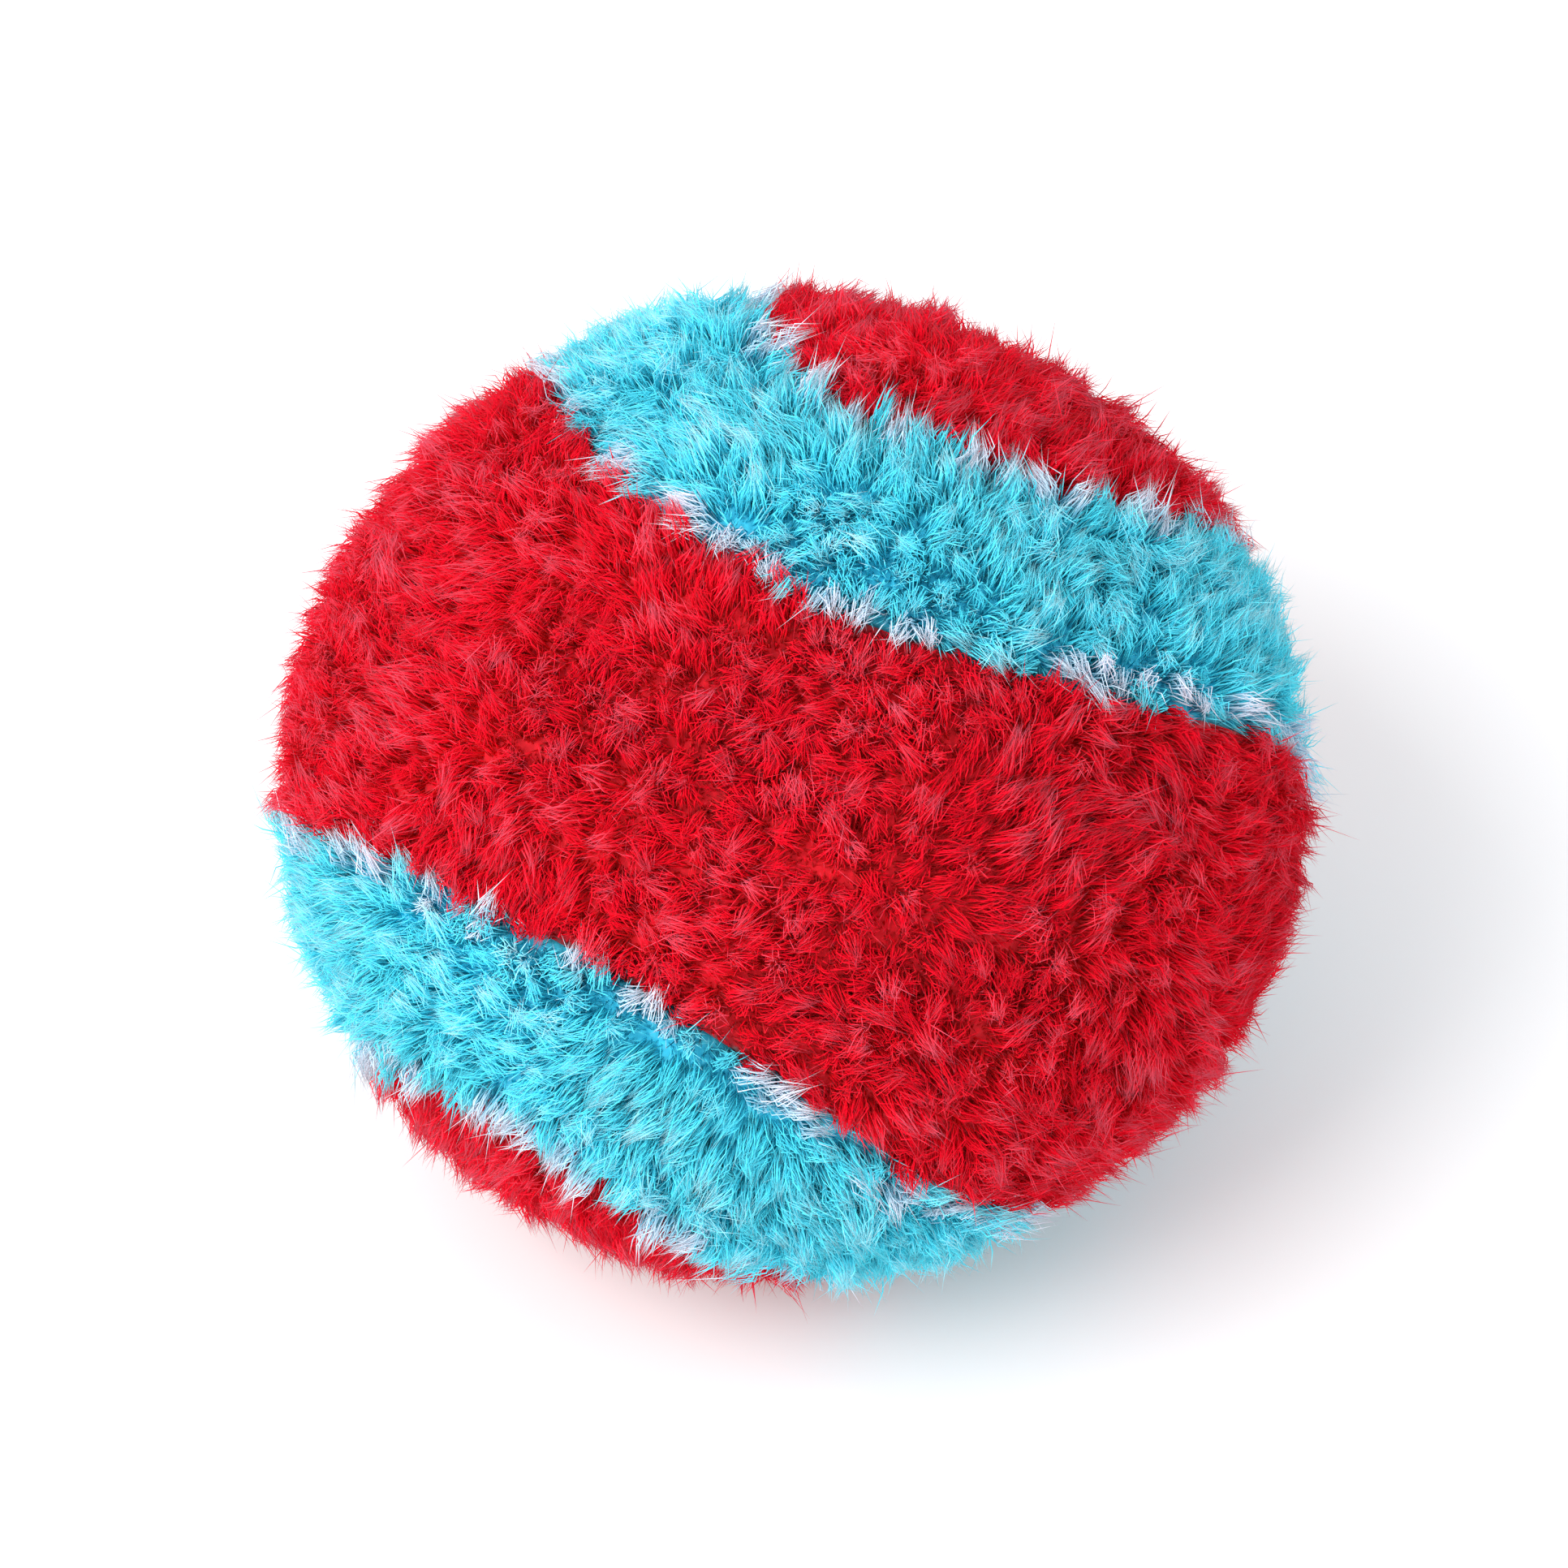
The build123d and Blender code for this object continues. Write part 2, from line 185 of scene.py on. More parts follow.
@dataclass(frozen=True)
class SeamPath:
    """The band's path round the ball, like a tennis ball's seam.

    Attributes:
        swing: Share of the threefold wave; 0.2 is close to a tennis ball's.
        half_width: Half the band's width on the ball, in metres.
        turns: Degrees by which the cover is turned about X, then Y, then Z.
        samples: Steps round the path for finding the nearest place on it.
    """

    swing: float = 0.187
    half_width: float = 7.5 * MM
    turns: tuple[float, float, float] = (32.5, -23.4, 3.9)
    samples: int = 1440

    def turning(self) -> np.ndarray:
        """Build the matrix that turns the cover as it lies on the ball."""
        matrix = np.eye(3)
        for axis, degrees in enumerate(self.turns):
            cosine = math.cos(math.radians(degrees))
            sine = math.sin(math.radians(degrees))
            step = np.eye(3)
            first, second = (axis + 1) % 3, (axis + 2) % 3
            step[first, first] = step[second, second] = cosine
            step[second, first], step[first, second] = sine, -sine
            matrix = step @ matrix
        return matrix

    def middle(self, angles: np.ndarray) -> np.ndarray:
        """Find the directions of the band's middle at angles along it, in radians."""
        wide = 1 - self.swing
        path = np.stack(
            [
                wide * np.cos(angles) + self.swing * np.cos(3 * angles),
                wide * np.sin(angles) - self.swing * np.sin(3 * angles),
                2 * math.sqrt(wide * self.swing) * np.sin(2 * angles),
            ],
            axis=1,
        )
        return path @ self.turning().T

    def across(self, angles: np.ndarray) -> np.ndarray:
        """Find the directions across the band, towards the front panel."""
        step = 1e-4
        along = self.middle(angles + step) - self.middle(angles - step)
        return unit(np.cross(self.middle(angles), along))

    def locate(self, directions: np.ndarray) -> tuple[np.ndarray, np.ndarray, np.ndarray]:
        """Find where directions lie beside the band.

        Args:
            directions: Unit rows.

        Returns:
            The angle to one side of the band's middle, the angle along the band, and the
            direction across the band, each with one row for each direction.
        """
        angles = np.linspace(0, math.tau, self.samples, endpoint=False)
        middle, across = self.middle(angles), self.across(angles)
        nearest = np.empty(len(directions), dtype=int)
        for start in range(0, len(directions), 4096):
            chunk = directions[start : start + 4096]
            nearest[start : start + 4096] = np.argmax(chunk @ middle.T, axis=1)
        aside = np.arcsin(np.clip(np.sum(directions * across[nearest], axis=1), -1, 1))
        far = np.arccos(np.clip(np.sum(directions * middle[nearest], axis=1), -1, 1))
        aside = np.where(np.abs(far) > np.abs(aside), np.sign(aside) * far, aside)
        outward = across[nearest] - directions * np.sum(directions * across[nearest], axis=1, keepdims=True)
        return aside, angles[nearest], unit(outward)


class Waves:
    """Smooth random values over directions, made of a few seeded plane waves."""

    def __init__(self, seed: int, size: float, radius: float, count: int = 10) -> None:
        """Choose the waves.

        Args:
            seed: Seed of the random draws.
            size: Typical length of a wave on the ball, in metres.
            radius: The ball's radius, in metres.
            count: How many waves are added up.
        """
        draw = np.random.default_rng(seed)
        spread = unit(draw.normal(size=(count, 3))) * draw.uniform(0.6, 1.5, (count, 1))
        self.numbers = spread * math.tau * radius / size
        self.phases = draw.uniform(0, math.tau, count)

    def __call__(self, directions: np.ndarray) -> np.ndarray:
        """Give one value for each direction, mostly between minus one and one."""
        waves = np.sin(directions @ self.numbers.T + self.phases)
        return waves.sum(axis=1) / math.sqrt(len(self.phases) / 2) / 1.4


def cover_lumps(form: BallForm, directions: np.ndarray) -> np.ndarray:
    """Find how far the cover swells over its uneven stuffing, in metres, for each direction."""
    return Waves(3, 26 * MM, form.equator)(directions) * 0.2 * MM


class NodeBoard:
    """A material's nodes, added and linked one at a time."""

    def __init__(self, name: str) -> None:
        """Start an empty material.

        Args:
            name: The material's name.
        """
        self.material = bpy.data.materials.new(name)
        self.material.use_nodes = True
        self.tree = self.material.node_tree
        self.tree.nodes.clear()

    def add(
        self, kind: str, settings: dict | None = None, links: dict | None = None, **values: object
    ) -> bpy.types.Node:
        """Add one node.

        Args:
            kind: The node's type name.
            settings: Values of the node's own properties.
            links: Sockets to feed, each with the output that feeds it.
            **values: Values of unlinked inputs, with underscores for spaces.

        Returns:
            The new node.
        """
        node = self.tree.nodes.new(kind)
        for name, value in (settings or {}).items():
            setattr(node, name, value)
        for name, value in values.items():
            node.inputs[name.replace("_", " ")].default_value = value
        for name, output in (links or {}).items():
            self.tree.links.new(output, node.inputs[name])
        return node


@dataclass(frozen=True)
class PileYarn:
    """Microfibre polyester pile, spun fine, cut and brushed: soft, with no gloss; roots painted brighter as
    painted light between the tufts and tips painted paler as a painted highlight.

    Attributes:
        name: The material's name.
        root: Colour near the roots; in the red and blue yarns painted brighter as painted light for light
            scattered down between the tufts.
        body: Colour along most of a fibre.
        tip: Colour of the brushed tips; in the red and blue yarns painted paler as a painted highlight.
        sheen: Weight of the soft rim light that fine fibres give.
        dye_patches: Patches of uneven dyeing in a metre, each about 11 mm.
    """

    name: str
    root: str
    body: str
    tip: str
    sheen: float = 0.04
    dye_patches: float = 90.0

    def build(self) -> bpy.types.Material:
        """Make the material: root to tip, with roots painted brighter as painted light and tips paler as a
        painted highlight, a tint for each fibre that also carries painted light from its tuft's height, and
        broad uneven dyeing.
        """
        board = NodeBoard(self.name)
        along = board.add("ShaderNodeAttribute", {"attribute_name": "fibre_along"})
        tint = board.add("ShaderNodeAttribute", {"attribute_name": "fibre_tint"})
        position = {"Vector": board.add("ShaderNodeTexCoord").outputs["Object"]}
        dye = board.add("ShaderNodeTexNoise", links=position, Scale=self.dye_patches, Detail=3.0)
        # painted light: in the red and blue yarns the ramp runs from roots painted brighter, for light
        # scattered between the tufts, to tips painted paler as a highlight
        ramp = board.add("ShaderNodeValToRGB", links={"Fac": along.outputs["Fac"]})
        ramp.color_ramp.elements[0].position = 0.12
        ramp.color_ramp.elements[0].color = linear_colour(self.root)
        ramp.color_ramp.elements[1].position = 1.0
        ramp.color_ramp.elements[1].color = linear_colour(self.tip)
        middle = ramp.color_ramp.elements.new(0.6)
        middle.color = linear_colour(self.body)
        shade = board.add(
            "ShaderNodeMath", {"operation": "MULTIPLY_ADD"}, {0: dye.outputs["Fac"], 2: tint.outputs["Fac"]}
        )
        shade.inputs[1].default_value = 0.35
        colour = board.add(
            "ShaderNodeHueSaturation",
            links={"Color": ramp.outputs["Color"], "Value": shade.outputs["Value"]},
        )
        shader = board.add(
            "ShaderNodeBsdfPrincipled",
            links={"Base Color": colour.outputs["Color"]},
            Roughness=0.85,
            IOR=1.5,
        )
        shader.inputs["Specular IOR Level"].default_value = 0.05
        shader.inputs["Sheen Weight"].default_value = self.sheen
        shader.inputs["Sheen Roughness"].default_value = 0.5
        board.add("ShaderNodeOutputMaterial", links={"Surface": shader.outputs["BSDF"]})
        return board.material


@dataclass(frozen=True)
class SpunCloth:
    """Polyester or cotton cloth, knitted or woven: matt, with the grid of its threads and painted shade in the
    hollows between them.

    Attributes:
        name: The material's name.
        thread: Colour of the raised threads.
        gap: Colour between the threads, painted shade for the hollows there.
        spacing: From thread to thread, in metres.
        depth: How strongly the threads stand out, from 0 to 1.
        slub: Length of an uneven stretch of thread, in metres.
    """

    name: str
    thread: str
    gap: str
    spacing: float
    depth: float = 0.5
    slub: float = 2.5 * MM

    def build(self) -> bpy.types.Material:
        """Make the material: two crossed sets of threads, painted shade in the hollows between them, and a
        little uneven spinning.
        """
        board = NodeBoard(self.name)
        position = {"Vector": board.add("ShaderNodeTexCoord").outputs["Object"]}
        scale = math.tau / 20 / self.spacing
        waves = []
        for direction in ("X", "Z"):
            wave = board.add(
                "ShaderNodeTexWave",
                {"bands_direction": direction},
                position,
                Scale=scale,
                Distortion=0.6,
                Detail=2.0,
            )
            waves.append(wave.outputs["Fac"])
        weave = board.add("ShaderNodeMath", {"operation": "MULTIPLY"}, {0: waves[0], 1: waves[1]})
        slub = board.add("ShaderNodeTexNoise", links=position, Scale=1 / self.slub, Detail=4.0)
        height = board.add(
            "ShaderNodeMath", {"operation": "ADD"}, {0: weave.outputs["Value"], 1: slub.outputs["Fac"]}
        )
        # painted shade: the colour follows the threads' height, darker in the hollows between them; the uneven
        # spinning adds real tone
        ramp = board.add("ShaderNodeValToRGB", links={"Fac": height.outputs["Value"]})
        ramp.color_ramp.elements[0].position = 0.35
        ramp.color_ramp.elements[0].color = linear_colour(self.gap)
        ramp.color_ramp.elements[1].position = 0.9
        ramp.color_ramp.elements[1].color = linear_colour(self.thread)
        bump = board.add(
            "ShaderNodeBump", links={"Height": height.outputs["Value"]}, Strength=self.depth, Distance=0.2 * MM
        )
        shader = board.add(
            "ShaderNodeBsdfPrincipled",
            links={"Base Color": ramp.outputs["Color"], "Normal": bump.outputs["Normal"]},
            Roughness=0.9,
            IOR=1.5,
        )
        shader.inputs["Sheen Weight"].default_value = 0.2
        board.add("ShaderNodeOutputMaterial", links={"Surface": shader.outputs["BSDF"]})
        return board.material


@dataclass(frozen=True)
class CardedFibre:
    """Hollow polyester fibre, carded: white, matt, soft, with loose strands that show as faint streaks."""

    name: str = "carded_polyester_wadding"
    light: str = "#f7f7f5"
    dark: str = "#d9dad8"
    strand: float = 1.2 * MM

    def build(self) -> bpy.types.Material:
        """Make the material: strands that run one way in each tuft, over soft clouds."""
        board = NodeBoard(self.name)
        position = {"Vector": board.add("ShaderNodeTexCoord").outputs["Object"]}
        cloud = board.add("ShaderNodeTexNoise", links=position, Scale=0.2 / self.strand)
        strands = board.add(
            "ShaderNodeTexNoise",
            links=position,
            Scale=1 / self.strand,
            Detail=6.0,
            Distortion=3.0,
        )
        height = board.add(
            "ShaderNodeMath", {"operation": "ADD"}, {0: cloud.outputs["Fac"], 1: strands.outputs["Fac"]}
        )
        ramp = board.add("ShaderNodeValToRGB", links={"Fac": strands.outputs["Fac"]})
        ramp.color_ramp.elements[0].position = 0.3
        ramp.color_ramp.elements[0].color = linear_colour(self.dark)
        ramp.color_ramp.elements[1].position = 0.7
        ramp.color_ramp.elements[1].color = linear_colour(self.light)
        bump = board.add(
            "ShaderNodeBump", links={"Height": height.outputs["Value"]}, Strength=0.6, Distance=0.4 * MM
        )
        shader = board.add(
            "ShaderNodeBsdfPrincipled",
            links={"Base Color": ramp.outputs["Color"], "Normal": bump.outputs["Normal"]},
            Roughness=0.95,
            IOR=1.5,
        )
        shader.inputs["Sheen Weight"].default_value = 0.3
        board.add("ShaderNodeOutputMaterial", links={"Surface": shader.outputs["BSDF"]})
        return board.material


@dataclass(frozen=True)
class MouldedPellets:
    """Polypropylene, tumbled after moulding: milky, slightly see-through, with a soft gloss."""

    name: str = "moulded_polypropylene"
    light: str = "#f1f0ea"
    dark: str = "#dcd9cd"

    def build(self) -> bpy.types.Material:
        """Make the material: faint clouding from pellet to pellet and a fine moulded grain."""
        board = NodeBoard(self.name)
        position = {"Vector": board.add("ShaderNodeTexCoord").outputs["Object"]}
        cloud = board.add("ShaderNodeTexNoise", links=position, Scale=180.0)
        ramp = board.add("ShaderNodeValToRGB", links={"Fac": cloud.outputs["Fac"]})
        ramp.color_ramp.elements[0].position = 0.35
        ramp.color_ramp.elements[0].color = linear_colour(self.dark)
        ramp.color_ramp.elements[1].position = 0.65
        ramp.color_ramp.elements[1].color = linear_colour(self.light)
        grain = board.add("ShaderNodeTexNoise", links=position, Scale=2500.0)
        bump = board.add(
            "ShaderNodeBump", links={"Height": grain.outputs["Fac"]}, Strength=0.15, Distance=0.05 * MM
        )
        shader = board.add(
            "ShaderNodeBsdfPrincipled",
            links={"Base Color": ramp.outputs["Color"], "Normal": bump.outputs["Normal"]},
            Roughness=0.42,
            IOR=1.49,
        )
        shader.inputs["Subsurface Weight"].default_value = 0.2
        shader.inputs["Subsurface Scale"].default_value = 1.5 * MM
        board.add("ShaderNodeOutputMaterial", links={"Surface": shader.outputs["BSDF"]})
        return board.material


def place_piece(name: str, mesh: bpy.types.Mesh, material: bpy.types.Material) -> bpy.types.Object:
    """Put a finished mesh into the scene as one piece that rides on the ball.

    Args:
        name: The piece's name.
        mesh: Its mesh, in metres, in the ball's frame.
        material: Its finish.

    Returns:
        The new piece.
    """
    mesh.materials.clear()
    mesh.materials.append(material)
    piece = bpy.data.objects.new(name, mesh)
    bpy.context.scene.collection.objects.link(piece)
    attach(piece, BODY)
    LOG.info("%s: %d faces", name, len(mesh.polygons))
    return piece


def triangle_mesh(name: str, vertices: np.ndarray, triangles: np.ndarray) -> bpy.types.Mesh:
    """Make a smooth-shaded mesh from arrays.

    Args:
        name: The mesh's name.
        vertices: One point a row.
        triangles: Three vertex numbers a row.

    Returns:
        The new mesh.
    """
    mesh = bpy.data.meshes.new(name)
    mesh.vertices.add(len(vertices))
    mesh.vertices.foreach_set("co", vertices.astype(np.float32).ravel())
    mesh.loops.add(3 * len(triangles))
    mesh.loops.foreach_set("vertex_index", triangles.astype(np.int32).ravel())
    mesh.polygons.add(len(triangles))
    mesh.polygons.foreach_set("loop_start", np.arange(0, 3 * len(triangles), 3, dtype=np.int32))
    mesh.polygons.foreach_set("use_smooth", np.ones(len(triangles), dtype=bool))
    mesh.update(calc_edges=True)
    return mesh


@dataclass
class Tufts:
    """Where a set of tufts stands and how each one leans.

    Attributes:
        roots: Points on the cloth.
        normals: Outward directions there.
        lean: Unit directions from root to tip.
        lengths: From root to tip, in metres.
        height_lit_tints: Brightness of each tuft, about one, painted lighter on taller tufts and darker on
            lower ones as painted light and shade.
        height_lit_tip_reach: How far towards the tips' colour each tuft gets, from 0 to 1, further on taller
            tufts as a painted highlight.
    """

    roots: np.ndarray
    normals: np.ndarray
    lean: np.ndarray
    lengths: np.ndarray
    height_lit_tints: np.ndarray
    height_lit_tip_reach: np.ndarray

    def pick(self, chosen: np.ndarray) -> "Tufts":
        """Keep only the chosen tufts."""
        parts = (self.roots, self.normals, self.lean, self.lengths, self.height_lit_tints, self.height_lit_tip_reach)
        return Tufts(*(part[chosen] for part in parts))


@dataclass
class Pile:
    """Brushed cut pile: fine tapered fibres that gather into pointed tufts.

    Attributes:
        fibres: How many fibres stand in one tuft.
        root_spread: Radius over which a tuft's fibres are rooted, in metres.
        tip_spread: Radius within which their tips gather, in metres.
        width: A fibre's width near its root, in metres.
        stray: Share of fibres that leave their tuft.
        stations: Where along a fibre its rings stand, from 0 at the root.
        widths: Width of each ring, as a share of the fibre's width.
    """

    fibres: int = 42
    root_spread: float = 1.0 * MM
    tip_spread: float = 0.25 * MM
    width: float = 0.1 * MM
    stray: float = 0.3
    stations: tuple[float, ...] = (0.0, 0.6)
    widths: tuple[float, ...] = (1.0, 0.8)

    @property
    def faces_per_tuft(self) -> int:
        """How many triangles one tuft takes."""
        return len(self._spike(len(self.stations))) * self.fibres

    def build(self, name: str, tufts: Tufts, seed: int) -> bpy.types.Mesh:
        """Grow the fibres of some tufts as closed three-sided spikes.

        Args:
            name: The mesh's name.
            tufts: Where the tufts stand.
            seed: Seed of the random draws.

        Returns:
            One mesh with all fibres, and how far along and how bright each point is.
        """
        draw = np.random.default_rng(seed)
        count = len(tufts.roots) * self.fibres
        owner = np.repeat(np.arange(len(tufts.roots)), self.fibres)
        normal, lean = tufts.normals[owner], tufts.lean[owner]
        side = unit(np.cross(normal, draw.normal(size=(count, 3))))
        spread = np.sqrt(draw.uniform(0, 1, count))[:, None]
        length = tufts.lengths[owner] * draw.uniform(0.84, 1.1, count) * (1 - 0.2 * spread[:, 0] ** 2)
        start = tufts.roots[owner] + side * spread * self.root_spread
        gather = draw.normal(size=(count, 3)) * self.tip_spread * 0.6
        end = tufts.roots[owner] + lean * length[:, None] + gather + side * spread * self.tip_spread
        loose = draw.uniform(0, 1, count) < self.stray
        wander = draw.normal(size=(count, 3)) * length[:, None] * 0.2
        end = np.where(loose[:, None], end + wander, end)
        bend = start + normal * (length * draw.uniform(0.4, 0.7, count))[:, None]
        bend += draw.normal(size=(count, 3)) * length[:, None] * 0.16
        rings, along = [], []
        reference = unit(draw.normal(size=(count, 3)))
        thickness = self.width / 2 * draw.uniform(0.7, 1.25, count)
        for station, share in zip(self.stations, self.widths):
            rest = 1 - station
            middle = rest**2 * start + 2 * rest * station * bend + station**2 * end
            heading = unit(2 * rest * (bend - start) + 2 * station * (end - bend))
            first = unit(np.cross(heading, reference))
            second = np.cross(heading, first)
            for corner in range(3):
                turn = math.tau * corner / 3
                offset = first * math.cos(turn) + second * math.sin(turn)
                rings.append(middle + offset * (thickness * share)[:, None])
                along.append(np.full(count, station))
        rings.append(end)
        along.append(np.ones(count))
        vertices = np.stack(rings, axis=1)
        vertices[:, :, 2] = np.maximum(vertices[:, :, 2], 0.02 * MM)
        per_fibre = vertices.shape[1]
        triangles = np.array(self._spike(len(self.stations)))
        numbers = triangles[None] + per_fibre * np.arange(count)[:, None, None]
        mesh = triangle_mesh(name, vertices.reshape(-1, 3), numbers.reshape(-1, 3))
        # painted light: each fibre takes its tuft's height-linked brightness and tip reach, with a little
        # random spread
        tint = tufts.height_lit_tints[owner] * draw.normal(1.0, 0.06, count)
        reached = np.stack(along, axis=1) * (tufts.height_lit_tip_reach[owner] * draw.uniform(0.85, 1.1, count))[:, None]
        self._store(mesh, "fibre_along", reached.ravel())
        self._store(mesh, "fibre_tint", np.repeat(tint, per_fibre))
        return mesh

    @staticmethod
    def _spike(rings: int) -> list[tuple[int, int, int]]:
        """List the triangles of one closed spike with three-cornered rings and a point."""
        faces = [(0, 2, 1)]
        for ring in range(rings - 1):
            base = 3 * ring
            for corner in range(3):
                after = (corner + 1) % 3
                faces.append((base + corner, base + after, base + 3 + after))
                faces.append((base + corner, base + 3 + after, base + 3 + corner))
        base = 3 * (rings - 1)
        faces += [(base + corner, base + (corner + 1) % 3, base + 3) for corner in range(3)]
        return faces

    @staticmethod
    def _store(mesh: bpy.types.Mesh, name: str, values: np.ndarray) -> None:
        """Keep one number for each point of a mesh."""
        layer = mesh.attributes.new(name, "FLOAT", "POINT")
        layer.data.foreach_set("value", values.astype(np.float32))


@dataclass
class CoverPile:
    """The pile of the whole cover: where tufts stand, which way each leans, and which cloth holds it.

    Attributes:
        layer: What this layer of pile is called in its pieces' names.
        pitch: From tuft to tuft, in metres.
        inset: From the ball's outline to the face of the backing cloth, in metres.
        length: The pile's length, in metres.
        edge: Width of the band's edge whose tips are undyed, in metres.
        groove: Bare cloth on each side of a seam, in metres.
        most_faces: Most faces in one piece of pile.
        pile: The fibres of one tuft.
        floor: Lowest height of a tuft's root, where the ball rests, in metres.
    """

    form: BallForm
    seam: SeamPath
    layer: str = "pile"
    pitch: float = 1.55 * MM
    inset: float = 2.9 * MM
    length: float = 2.95 * MM
    edge: float = 1.6 * MM
    groove: float = 0.3 * MM
    most_faces: int = 190000
    pile: Pile = field(default_factory=Pile)
    floor: float = 1.2 * MM

    def spread_directions(self) -> np.ndarray:
        """Spread tufts evenly over the ball, row on row in a spiral, and shift each a little."""
        radius = self.form.equator - self.inset
        count = int(4 * math.pi * radius**2 / (self.pitch**2 * math.sqrt(3) / 2))
        draw = np.random.default_rng(11)
        step = np.arange(count) + 0.5
        rise = 1 - 2 * step / count
        turn = step * math.pi * (3 - math.sqrt(5))
        level = np.sqrt(1 - rise**2)
        rows = np.stack([level * np.cos(turn), level * np.sin(turn), rise], axis=1)
        return unit(rows + draw.normal(size=rows.shape) * 0.22 * self.pitch / radius)

    def grow(self) -> tuple[Tufts, np.ndarray, np.ndarray]:
        """Stand all tufts on the cover.

        Returns:
            The tufts, the angle of each to the side of the band's middle, and the angle of
            each along the band.
        """
        radius = self.form.equator
        directions = self.spread_directions()
        aside, along, outward = self.seam.locate(directions)
        half = self.seam.half_width / radius
        in_band = np.abs(aside) < half
        lumps = cover_lumps(self.form, directions)
        roots = self.form.points(directions, self.inset - lumps)
        normals = self.form.normals(roots)
        roots[:, 2] = np.maximum(roots[:, 2], self.floor)
        drift = np.stack([Waves(20 + axis, 17 * MM, radius)(directions) for axis in range(3)], axis=1)
        curls = np.stack([Waves(30 + axis, 5 * MM, radius)(directions) for axis in range(3)], axis=1)
        draw = np.random.default_rng(12)
        sway = 0.8 * drift + 0.5 * curls + 0.5 * draw.normal(size=directions.shape)
        edge_pull = np.sign(aside) * smooth_step(np.abs(aside), 0.5 * half, half)
        panel_pull = 1.1 * np.sign(aside) * smooth_step(-np.abs(aside), -1.35 * half, -half)
        pull = np.where(in_band, 2.0 * edge_pull, panel_pull)
        sway += outward * pull[:, None]
        sway -= normals * np.sum(sway * normals, axis=1, keepdims=True)
        strength = np.linalg.norm(sway, axis=1)
        lean_angle = np.radians(8 + 24 * np.clip(strength, 0, 1.7))
        lean = normals * np.cos(lean_angle)[:, None] + unit(sway) * np.sin(lean_angle)[:, None]
        clumps = Waves(40, 3.4 * MM, radius)(directions)
        height = 0.5 * clumps + 0.5 * draw.normal(size=len(directions))
        beside_band = smooth_step(-np.abs(aside), -1.2 * half, -half) * ~in_band
        edge_reach = smooth_step(np.abs(aside), 0.75 * half, half) * in_band
        swell = 1 + 0.21 * np.clip(height, -1.5, 1.5) + 0.25 * edge_reach - 0.3 * beside_band
        lengths = self.length * swell
        # painted light and shade: taller tufts are painted brighter with paler tips, lower tufts darker
        height_lit_tints = 0.86 + 0.045 * height
        height_lit_tip_reach = np.clip(0.82 + 0.22 * height, 0.5, 1.05)
        return Tufts(roots, normals, unit(lean), lengths, height_lit_tints, height_lit_tip_reach), aside, along

    def build(self, finishes: dict[str, bpy.types.Material]) -> list[bpy.types.Object]:
        """Grow the pile piece by piece.

        Args:
            finishes: The red, blue and undyed finishes by name.

        Returns:
            The pieces.
        """
        tufts, aside, along = self.grow()
        radius = self.form.equator
        half = self.seam.half_width / radius
        gap = self.groove / radius
        edge = self.edge / radius
        red, blue = "red_pile_fabric", "blue_pile_fabric"
        spots = Waves(50, 3.5 * MM, radius)(unit(tufts.roots - self.form.centre)) > -0.45
        in_band = np.abs(aside) < half - gap
        undyed = in_band & (np.abs(aside) >= half - gap - edge) & spots
        groups = {
            "front_panel": (aside > half + gap, red, finishes["red"]),
            "back_panel": (aside < -half - gap, red, finishes["red"]),
            "band": (in_band & ~undyed, blue, finishes["blue"]),
            "band_edge": (undyed, blue, finishes["undyed"]),
        }
        share = self.most_faces // self.pile.faces_per_tuft
        pieces = []
        for number, (group, (chosen, slot, finish)) in enumerate(groups.items()):
            name = f"{group}_{self.layer}"
            order = np.flatnonzero(chosen)
            if not len(order):
                continue
            order = order[np.argsort(along[order], kind="stable")]
            parts = max(1, math.ceil(len(order) / share))
            for part, members in enumerate(np.array_split(order, parts)):
                label = f"{name}_{part + 1}" if parts > 1 else name
                mesh = self.pile.build(label, tufts.pick(members), 100 + 10 * number + part)
                pieces.append(place_piece(label, mesh, finish))
        return pieces


